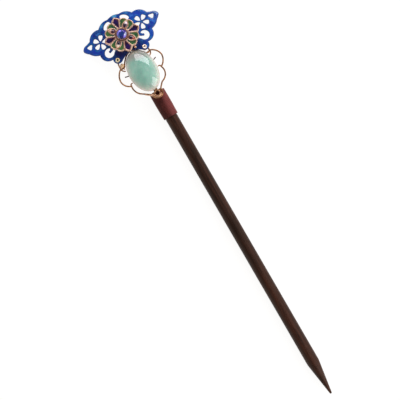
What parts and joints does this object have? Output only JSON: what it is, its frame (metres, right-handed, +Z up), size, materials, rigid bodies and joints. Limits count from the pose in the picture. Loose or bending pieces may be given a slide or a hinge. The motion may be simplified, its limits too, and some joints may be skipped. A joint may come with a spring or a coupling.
{
  "type": "hair stick",
  "caption": "Slim pointed wooden hair stick with a bound end and a leaning head: a wire frame holding an oval cabochon, and a pierced curved wing plate with a small cloisonne flower.",
  "frame": {"origin": "on the surface the hair stick lies on, under the middle of its bounding box", "axes": "+Y from the pointed end to the head, +X to the right seen from above, +Z up"},
  "size_m": [0.0364, 0.1882, 0.0111],
  "materials": {
    "dark_wood": "oiled dark wood",
    "maroon_wrap": "fine maroon binding",
    "rose_wire": "rose gold plated wire",
    "green_stone": "polished, translucent",
    "blue_enamel": "glossy blue enamel",
    "eyelet_gold": "polished gold",
    "rose_gold": "polished rose gold",
    "purple_enamel": "glossy enamel",
    "plum_enamel": "glossy enamel",
    "green_enamel": "glossy enamel",
    "violet_stone": "cut and foiled"
  },
  "bodies": {
    "root": {"stick": "dark_wood", "wrap": "maroon_wrap", "wire_frame": "rose_wire", "cabochon": "green_stone", "plate": "blue_enamel", "eyelet_left": "eyelet_gold", "eyelet_right": "eyelet_gold", "flower_mount": "rose_gold", "petal_enamel_1": "purple_enamel", "petal_enamel_2": "purple_enamel", "petal_enamel_3": "purple_enamel", "petal_enamel_4": "purple_enamel", "bud_enamel_1": "plum_enamel", "bud_enamel_2": "plum_enamel", "bud_enamel_3": "plum_enamel", "bud_enamel_4": "plum_enamel", "leaf_enamel_1": "green_enamel", "leaf_enamel_2": "green_enamel", "leaf_enamel_3": "green_enamel", "leaf_enamel_4": "green_enamel", "leaf_enamel_5": "green_enamel", "leaf_enamel_6": "green_enamel", "leaf_enamel_7": "green_enamel", "leaf_enamel_8": "green_enamel", "centre_stone": "violet_stone"}
  },
  "joints": []
}
